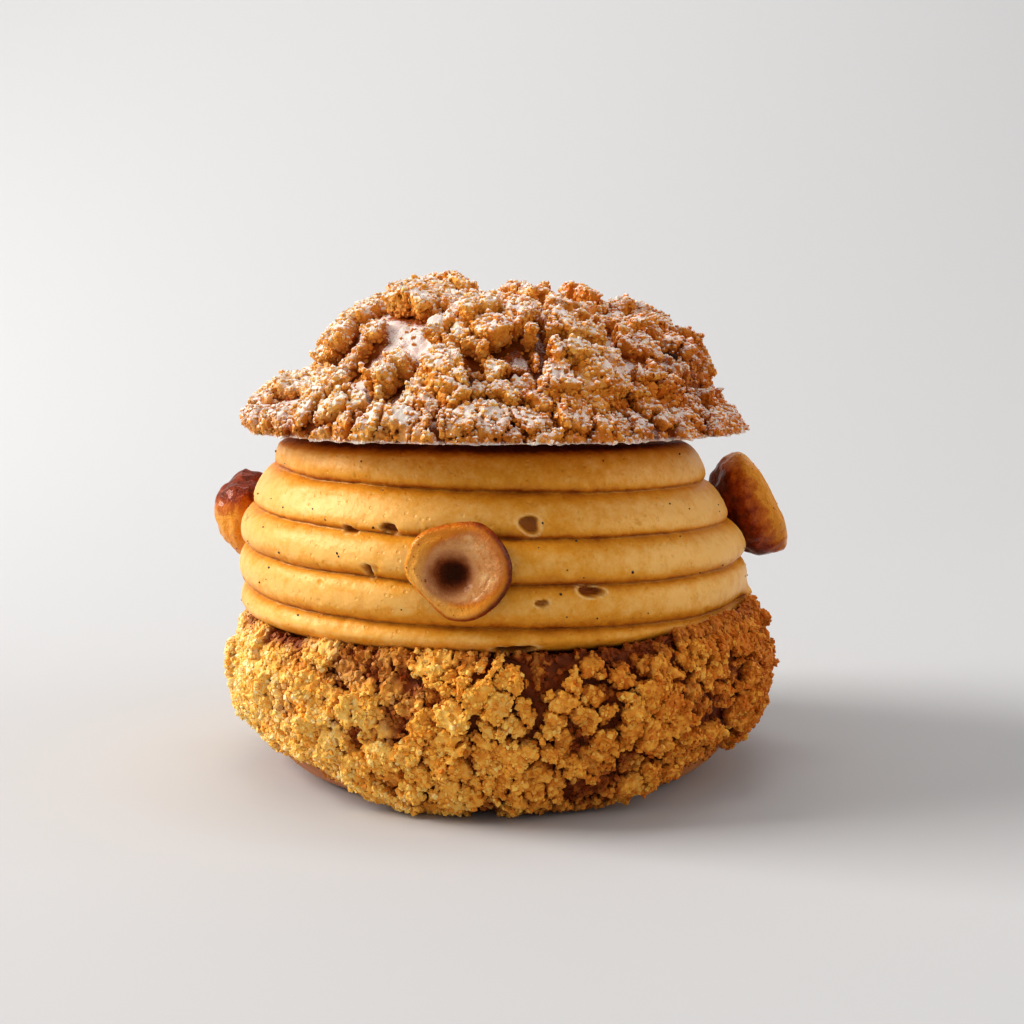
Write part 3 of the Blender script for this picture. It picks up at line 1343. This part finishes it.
class NodeTree:
    """A few short cuts for wiring the nodes of a material or of a group."""

    def join(self, value, socket):
        """Links an output to a socket, or sets the socket to a number or a colour."""
        if isinstance(value, bpy.types.NodeSocket):
            self.tree.links.new(value, socket)
        elif socket.type == "RGBA" and len(value) == 3:
            socket.default_value = (*value, 1.0)
        else:
            socket.default_value = value

    def node(self, kind, inputs=None, **settings):
        made = self.tree.nodes.new(kind)
        for key, value in settings.items():
            setattr(made, key, value)
        for key, value in (inputs or {}).items():
            self.join(value, made.inputs[key])
        return made

    def value(self, name):
        return self.node("ShaderNodeAttribute", attribute_name=name).outputs["Fac"]

    def place(self):
        return self.node("ShaderNodeTexCoord").outputs["Object"]

    def noise(self, size, detail=3.0, roughness=0.5):
        inputs = {"Vector": self.place(), "Scale": 1 / size, "Detail": detail, "Roughness": roughness}
        return self.node("ShaderNodeTexNoise", inputs).outputs["Fac"]

    def pores(self, size, share):
        """Small round pores, 1 in their middle: a share of the places about size apart has one."""
        cells = self.node("ShaderNodeTexVoronoi", {"Vector": self.place(), "Scale": 1.0 / size})
        chosen = self.node("ShaderNodeSeparateColor", {"Color": cells.outputs["Color"]}).outputs["Red"]
        deep = self.times(self.minus(0.3, cells.outputs["Distance"]), 8.0, clamp=True)
        return self.times(deep, self.math("LESS_THAN", chosen, share))

    def math(self, operation, a, b=0.0, clamp=False):
        made = self.node("ShaderNodeMath", operation=operation, use_clamp=clamp)
        for socket, value in zip(made.inputs, (a, b)):
            self.join(value, socket)
        return made.outputs[0]

    def times(self, a, b, clamp=False):
        return self.math("MULTIPLY", a, b, clamp)

    def plus(self, a, b):
        return self.math("ADD", a, b)

    def minus(self, a, b, clamp=False):
        return self.math("SUBTRACT", a, b, clamp)

    def swing(self, value, strength):
        """A value round 0.5 made to swing round zero."""
        return self.times(self.minus(value, 0.5), strength)

    def ramp(self, share, *stops):
        """Colours at shares of the way; stops are (share, colour)."""
        made = self.node("ShaderNodeValToRGB", {"Fac": share})
        elements = made.color_ramp.elements
        while len(elements) < len(stops):
            elements.new(0.5)
        for element, (position, colour) in zip(elements, stops):
            element.position = position
            element.color = (*colour, 1.0)
        return made.outputs["Color"]

    def mix(self, share, first, second):
        """The first colour where share is 0 and the second where it is 1."""
        made = self.node("ShaderNodeMix", data_type="RGBA")
        for number, value in ((0, share), (6, first), (7, second)):
            self.join(value, made.inputs[number])
        return made.outputs[2]

    def placed(self, group, **inputs):
        """Puts a shared group in, with its own values, and returns the group's outputs."""
        return self.node("ShaderNodeGroup", inputs, node_tree=group).outputs


class Wiring(NodeTree):
    """A material with one shader."""

    def __init__(self, name):
        self.material = bpy.data.materials.new(name)
        self.material.use_nodes = True
        self.tree = self.material.node_tree
        self.shader = self.tree.nodes["Principled BSDF"]

    def set(self, **values):
        for key, value in values.items():
            self.join(value, self.shader.inputs[key.replace("_", " ")])

    def surface(self, colour, roughness, specular, tint=WHITE):
        self.set(Base_Color=colour, Roughness=roughness, Specular_IOR_Level=specular, Specular_Tint=tint)

    def scatter(self, weight, scale, radius):
        """Light that enters the food and comes out some way off, most of it red."""
        self.set(Subsurface_Weight=weight, Subsurface_Scale=scale, Subsurface_Radius=radius)

    def bump(self, height, distance, strength=1.0):
        made = self.node("ShaderNodeBump", {"Height": height, "Distance": distance, "Strength": strength})
        self.tree.links.new(made.outputs["Normal"], self.shader.inputs["Normal"])


class SharedGroup(NodeTree):
    """A node group that several materials use."""

    def __init__(self, name):
        self.tree = bpy.data.node_groups.new(name, "ShaderNodeTree")
        self.entry = self.tree.nodes.new("NodeGroupInput")
        self.exit = self.tree.nodes.new("NodeGroupOutput")

    def takes(self, name, default=0.0):
        socket = self.tree.interface.new_socket(name=name, in_out="INPUT", socket_type="NodeSocketFloat")
        socket.default_value = default
        return self.entry.outputs[name]

    def gives(self, name, kind, value):
        self.tree.interface.new_socket(name=name, in_out="OUTPUT", socket_type="NodeSocket" + kind)
        self.tree.links.new(value, self.exit.inputs[name])


def linear(share):
    """The amount of light of a channel that is given as a share of its sRGB range."""
    return ((share + 0.055) / 1.055) ** 2.4 if share > 0.04045 else share / 12.92


def srgb(red, green, blue):
    """A colour as 0 to 255 per channel, made linear."""
    return tuple(linear(channel / 255) for channel in (red, green, blue))


def baked_crust_group(context):
    """Colour of baked craquelin: dark choux in the gaps, gold on the plates, each grain its own."""
    made = bpy.data.node_groups.get("baked_crust")
    if made:
        return made
    colours = context.scene.bun_colours
    group = SharedGroup("baked_crust")
    lift, grain, flake = group.takes("Lift"), group.takes("Grain"), group.takes("Flake")
    browned = group.takes("Browned")
    patchy = group.noise(4 * MM, 3.0)
    # The oven browned the right side more.
    side = group.node("ShaderNodeSeparateXYZ", {"Vector": group.place()}).outputs["X"]
    tone = group.plus(group.times(grain, 0.32), group.times(flake, 0.22))
    tone = group.plus(tone, group.times(patchy, 0.45))
    tone = group.minus(tone, group.times(side, 7.5))
    golden = group.ramp(
        tone,
        (0.2, colours.crust_brown),
        (0.46, colours.crust_golden),
        (0.7, colours.crust_pale),
        (0.95, srgb(255, 232, 176)),
    )
    depth = group.plus(lift, group.swing(patchy, 0.25))
    choux = group.ramp(depth, (0.0, srgb(92, 28, 2)), (0.16, srgb(140, 60, 8)), (0.5, srgb(208, 120, 28)))
    share = group.times(group.minus(depth, 0.16), 2.4, clamp=True)
    crust = group.mix(share, choux, golden)
    group.gives("Colour", "Color", group.mix(browned, crust, srgb(202, 106, 10)))
    return group.tree


def rough_skin_group():
    """Height of a rough skin: broad bumps, with a share of finer ones on them."""
    made = bpy.data.node_groups.get("rough_skin")
    if made:
        return made
    group = SharedGroup("rough_skin")
    heights = []
    for name in ("Broad", "Fine"):
        scale = group.math("DIVIDE", 1.0, group.takes(name, 1 * MM))
        inputs = {"Vector": group.place(), "Scale": scale, "Detail": 4.0, "Roughness": 0.65}
        heights.append(group.node("ShaderNodeTexNoise", inputs).outputs["Fac"])
    share = group.takes("Share of fine")
    group.gives("Height", "Float", group.plus(heights[0], group.times(heights[1], share)))
    return group.tree


def rough_skin(wiring, broad, fine, share):
    """Places the rough skin in a material; broad and fine are sizes in metres."""
    inputs = {"Broad": broad, "Fine": fine, "Share of fine": share}
    return wiring.placed(rough_skin_group(), **inputs)["Height"]


def crust_material(name, context, sugared=False):
    colours = context.scene.bun_colours
    wiring = Wiring(name)
    values = {"Lift": wiring.value("lift"), "Grain": wiring.value("tone"), "Flake": wiring.value("flake")}
    browned = 0.34 if sugared else 0.0
    colour = wiring.placed(baked_crust_group(context), Browned=browned, **values)["Colour"]
    if sugared:
        side = wiring.node("ShaderNodeSeparateXYZ", {"Vector": wiring.place()}).outputs["X"]
        powder = wiring.swing(wiring.noise(0.24 * MM, 3.0, 0.7), 1.7)
        drift = wiring.swing(wiring.noise(5 * MM, 3.0), 1.1)
        drift = wiring.minus(drift, wiring.times(side, 2.5))
        reached = wiring.times(wiring.value("sugar"), 3.0, clamp=True)
        cover = wiring.plus(wiring.times(wiring.value("sugar"), 1.3), drift)
        speckle = wiring.minus(wiring.minus(cover, powder), 0.36)
        dusted = wiring.times(wiring.times(speckle, 2.4, clamp=True), reached)
        dusted = wiring.times(dusted, 0.88)
        colour = wiring.mix(dusted, colour, colours.sugar)
    wiring.surface(colour, 0.5, 0.4, CRUST_TINT)
    wiring.scatter(0.18, 0.8 * MM, (1.0, 0.36, 0.1))
    wiring.bump(rough_skin(wiring, 0.3 * MM, 0.15 * MM, 0.1), 0.12 * MM, 0.7)
    return wiring.material


def choux_material():
    """Bare choux: smooth, brown and faintly glossy, darker in broad patches."""
    wiring = Wiring("baked_choux")
    patchy = wiring.noise(5 * MM, 4.0, 0.6)
    stops = ((0.3, srgb(150, 76, 14)), (0.5, srgb(194, 112, 30)), (0.75, srgb(218, 146, 52)))
    colour = wiring.ramp(patchy, *stops)
    wiring.surface(colour, 0.36, 0.45, CRUST_TINT)
    wiring.bump(rough_skin(wiring, 0.9 * MM, 0.4 * MM, 0.2), 0.15 * MM, 0.5)
    return wiring.material


def cream_material(context):
    colours = context.scene.bun_colours
    wiring = Wiring("praline_cream")
    grainy = wiring.noise(0.5 * MM, 3.0, 0.7)
    mottle = wiring.plus(wiring.noise(2.2 * MM, 3.0, 0.6), wiring.times(grainy, 0.55))
    mottle = wiring.times(wiring.minus(mottle, 0.78), 0.9)
    tone = wiring.times(wiring.plus(wiring.value("groove"), mottle), 0.7)
    colour = wiring.ramp(
        tone,
        (0.0, colours.cream),
        (0.25, colours.cream_deep),
        (0.5, srgb(204, 130, 28)),
        (0.74, colours.cream_groove),
        (0.94, srgb(92, 32, 4)),
    )
    colour = wiring.mix(wiring.times(wiring.value("brim"), 0.7), colour, srgb(248, 212, 150))
    colour = wiring.mix(wiring.times(wiring.value("hole"), 0.95), colour, srgb(136, 62, 10))
    wiring.surface(colour, 0.38, 0.42, CREAM_TINT)
    wiring.scatter(0.22, 1.4 * MM, (1.0, 0.42, 0.12))
    height = rough_skin(wiring, 1.1 * MM, 0.5 * MM, 0.6)
    height = wiring.minus(height, wiring.times(wiring.pores(0.9 * MM, 0.4), 0.8))
    wiring.bump(height, 0.12 * MM, 0.7)
    return wiring.material


def seed_material():
    wiring = Wiring("vanilla_seed")
    colour = wiring.ramp(wiring.value("tone"), (0.0, srgb(26, 14, 8)), (1.0, srgb(58, 34, 18)))
    wiring.set(Base_Color=colour, Roughness=0.4)
    return wiring.material


def nut_material(context):
    colours = context.scene.bun_colours
    wiring = Wiring("caramelised_hazelnut")
    cut, hollow, edge = wiring.value("cut"), wiring.value("hollow"), wiring.value("edge")
    mottle = wiring.noise(1.5 * MM, 4.0, 0.65)
    spread = wiring.swing(mottle, 1.5)
    amber = wiring.plus(wiring.value("amber"), spread)
    caramel = wiring.ramp(
        amber,
        (0.0, colours.caramel_dark),
        (0.3, srgb(152, 52, 8)),
        (0.6, colours.caramel_amber),
        (0.85, srgb(218, 130, 24)),
        (1.0, srgb(238, 166, 54)),
    )
    flesh_stops = ((0.3, srgb(204, 136, 74)), (0.5, srgb(226, 168, 108)), (0.72, srgb(242, 204, 152)))
    flesh = wiring.ramp(mottle, *flesh_stops)
    rim_stops = ((0.25, srgb(206, 112, 18)), (0.65, srgb(232, 152, 40)), (1.0, srgb(246, 186, 86)))
    rim = wiring.ramp(wiring.plus(edge, wiring.times(spread, 0.15)), *rim_stops)
    stained = wiring.mix(wiring.times(edge, 2.2, clamp=True), flesh, rim)
    depth = wiring.plus(hollow, wiring.times(spread, 0.32))
    shade = wiring.ramp(
        depth,
        (0.0, srgb(230, 176, 122)),
        (0.32, srgb(206, 144, 94)),
        (0.58, srgb(146, 76, 34)),
        (0.76, srgb(82, 24, 6)),
        (0.95, srgb(50, 10, 2)),
    )
    share = wiring.times(hollow, 4.0, clamp=True)
    inside = wiring.mix(share, stained, shade)
    colour = wiring.mix(cut, caramel, inside)
    wiring.surface(colour, 0.32, 0.35, CARAMEL_TINT)
    glossy = wiring.times(wiring.minus(0.6, hollow, clamp=True), 0.5)
    wiring.set(Coat_Weight=glossy, Coat_Roughness=0.08, Coat_Tint=(1.0, 0.78, 0.5))
    wiring.scatter(0.18, 1.2 * MM, (1.0, 0.35, 0.08))
    wiring.bump(rough_skin(wiring, 1.3 * MM, 0.5 * MM, 1.0), 0.42 * MM, 1.0)
    return wiring.material


# ---- Stage -----------------------------------------------------------------------------------

# The lamps: name, place, what it aims at, length of its side in metres, watts and colour.
LAMPS = (
    ("key", (-0.92, 0.03, 0.62), (0.0, 0.0, 0.03), 0.58, 12.6, (1.0, 0.985, 0.965)),
    ("fill", (0.75, -0.1, 0.34), (0.0, 0.0, 0.03), 0.5, 1.1, WHITE),
    ("backdrop", (0.05, 0.30, 1.3), (0.25, 1.15, 0.75), 0.7, 5.6, WHITE),
)
WORLD_STRENGTH = 0.47
EXPOSURE = 0.27
GAMMA = 0.88

# The camera: its place, how many degrees it looks down, and its lens in millimetres.
CAMERA_PLACE = (1.8 * MM, -216 * MM, 61.2 * MM)
CAMERA_DOWN = 6.6
CAMERA_LENS = 51.5

# The backdrop: where its curve starts, the curve's radius, its top and half its width, in metres.
SWEEP_START = 0.25
SWEEP_RADIUS = 0.9
SWEEP_TOP = 2.2
SWEEP_HALF_WIDTH = 3.0
SWEEP_FRONT = -1.6


class BUN_OT_stage(bpy.types.Operator):
    """Set the pale floor, the backdrop, the lights and the camera"""

    bl_idname = "bun.stage"
    bl_label = "Stage"

    def execute(self, context):
        sweep = self.sweep()
        wiring = Wiring("studio_white")
        wiring.surface(context.scene.bun_colours.floor, 0.8, 0.15)
        wiring.bump(wiring.noise(2 * MM, 2.0), 0.02 * MM, 0.2)
        sweep.data.materials.append(wiring.material)
        for lamp in LAMPS:
            self.light(*lamp)
        world = bpy.data.worlds.new("studio")
        bpy.context.scene.world = world
        world.use_nodes = True
        background = world.node_tree.nodes["Background"]
        background.inputs["Color"].default_value = (*WHITE, 1.0)
        background.inputs["Strength"].default_value = WORLD_STRENGTH
        self.camera()
        scene = bpy.context.scene
        scene.view_settings.view_transform = "Standard"
        scene.view_settings.gamma = GAMMA
        scene.view_settings.exposure = EXPOSURE
        return {"FINISHED"}

    def sweep(self):
        """A floor that turns up into a backdrop in one wide curve."""
        outline = [(SWEEP_FRONT, 0.0), (SWEEP_START, 0.0)]
        steps = 24
        for i in range(1, steps + 1):
            turn = math.pi / 2 * i / steps
            forward = SWEEP_START + SWEEP_RADIUS * math.sin(turn)
            outline.append((forward, SWEEP_RADIUS * (1 - math.cos(turn))))
        outline.append((SWEEP_START + SWEEP_RADIUS, SWEEP_TOP))
        mesh = bpy.data.meshes.new("studio_sweep")
        points = [(x, y, z) for y, z in outline for x in (-SWEEP_HALF_WIDTH, SWEEP_HALF_WIDTH)]
        faces = [(2 * i, 2 * i + 1, 2 * i + 3, 2 * i + 2) for i in range(len(outline) - 1)]
        mesh.from_pydata(points, [], faces)
        mesh.shade_smooth()
        piece = bpy.data.objects.new("studio_sweep", mesh)
        bpy.context.scene.collection.objects.link(piece)
        return piece

    def light(self, name, place, aim, size, power, colour):
        data = bpy.data.lights.new(name, "AREA")
        data.size = size
        data.energy = power
        data.color = colour
        lamp = bpy.data.objects.new(name, data)
        bpy.context.scene.collection.objects.link(lamp)
        lamp.location = place
        lamp.rotation_euler = (Vector(aim) - Vector(place)).to_track_quat("-Z", "Y").to_euler()

    def camera(self):
        data = bpy.data.cameras.new("camera")
        data.lens = CAMERA_LENS
        data.sensor_width = 36.0
        data.clip_start = 0.01
        data.clip_end = 20.0
        camera = bpy.data.objects.new("camera", data)
        bpy.context.scene.collection.objects.link(camera)
        camera.location = CAMERA_PLACE
        camera.rotation_euler = (math.radians(90 - CAMERA_DOWN), 0.0, 0.0)
        bpy.context.scene.camera = camera


# ---- Add-on ----------------------------------------------------------------------------------


def length_setting(name, description, default):
    return bpy.props.FloatProperty(
        name=name, description=description, default=default, min=0.0, unit="LENGTH"
    )


def colour_setting(name, description, default):
    return bpy.props.FloatVectorProperty(
        name=name, description=description, default=default, subtype="COLOR", min=0.0, max=1.0
    )


class BunSizes(bpy.types.PropertyGroup):
    """Sizes of the craquelin"""

    base_plate: length_setting("Base plate", "Distance between two plates of the base's crust", 6.6 * MM)
    base_grain: length_setting("Base grain", "Size of a grain of the base's crust", 0.60 * MM)
    base_crack: length_setting("Base crack", "Width of the widest cracks in the base's crust", 1.35 * MM)
    cap_plate: length_setting("Cap plate", "Distance between two plates of the cap's crust", 8.4 * MM)
    cap_grain: length_setting("Cap grain", "Size of a grain of the cap's crust", 0.62 * MM)
    cap_crack: length_setting("Cap crack", "Width of the widest cracks in the cap's crust", 4.2 * MM)


class BunColours(bpy.types.PropertyGroup):
    """Colours of the bun and of the studio floor"""

    crust_brown: colour_setting("Brown crust", "Crust that the oven browned most", srgb(210, 120, 28))
    crust_golden: colour_setting("Golden crust", "Most of the crust", srgb(244, 174, 66))
    crust_pale: colour_setting("Pale crust", "The lightest plates and grains", srgb(254, 206, 108))
    sugar: colour_setting("Icing sugar", "Sugar on the cap", srgb(240, 231, 226))
    cream: colour_setting("Cream", "Crests of the praline cream", srgb(239, 185, 102))
    cream_deep: colour_setting("Deep cream", "Body of the praline cream", srgb(225, 155, 44))
    cream_groove: colour_setting("Groove", "Cream between two turns of the rope", srgb(162, 82, 8))
    caramel_dark: colour_setting("Dark caramel", "Skin of the hazelnuts", srgb(92, 22, 4))
    caramel_amber: colour_setting("Amber caramel", "Thin caramel on the hazelnuts", srgb(200, 108, 20))
    floor: colour_setting("Floor", "Studio floor and backdrop", (0.555, 0.55, 0.55))


class BUN_PT_panel(bpy.types.Panel):
    """Lists the bun's settings and pieces"""

    bl_idname = "BUN_PT_panel"
    bl_label = "Craquelin bun"
    bl_space_type = "VIEW_3D"
    bl_region_type = "UI"
    bl_category = "Bun"

    def draw(self, context):
        for settings in (context.scene.bun_sizes, context.scene.bun_colours):
            for name in settings.__annotations__:
                self.layout.prop(settings, name)
        for operator in OPERATORS:
            self.layout.operator(operator.bl_idname)


OPERATORS = (BUN_OT_stage, BUN_OT_base, BUN_OT_cap, BUN_OT_cream, BUN_OT_hazelnuts)
CLASSES = (BunSizes, BunColours, *OPERATORS, BUN_PT_panel)


def register():
    for made in CLASSES:
        bpy.utils.register_class(made)
    bpy.types.Scene.bun_sizes = bpy.props.PointerProperty(type=BunSizes)
    bpy.types.Scene.bun_colours = bpy.props.PointerProperty(type=BunColours)


def unregister():
    del bpy.types.Scene.bun_sizes
    del bpy.types.Scene.bun_colours
    for made in reversed(CLASSES):
        bpy.utils.unregister_class(made)


def main():
    register()
    bpy.ops.bun.stage()
    bpy.ops.bun.base()
    bpy.ops.bun.cap()
    bpy.ops.bun.cream()
    bpy.ops.bun.hazelnuts()


if __name__ == "__main__":
    main()
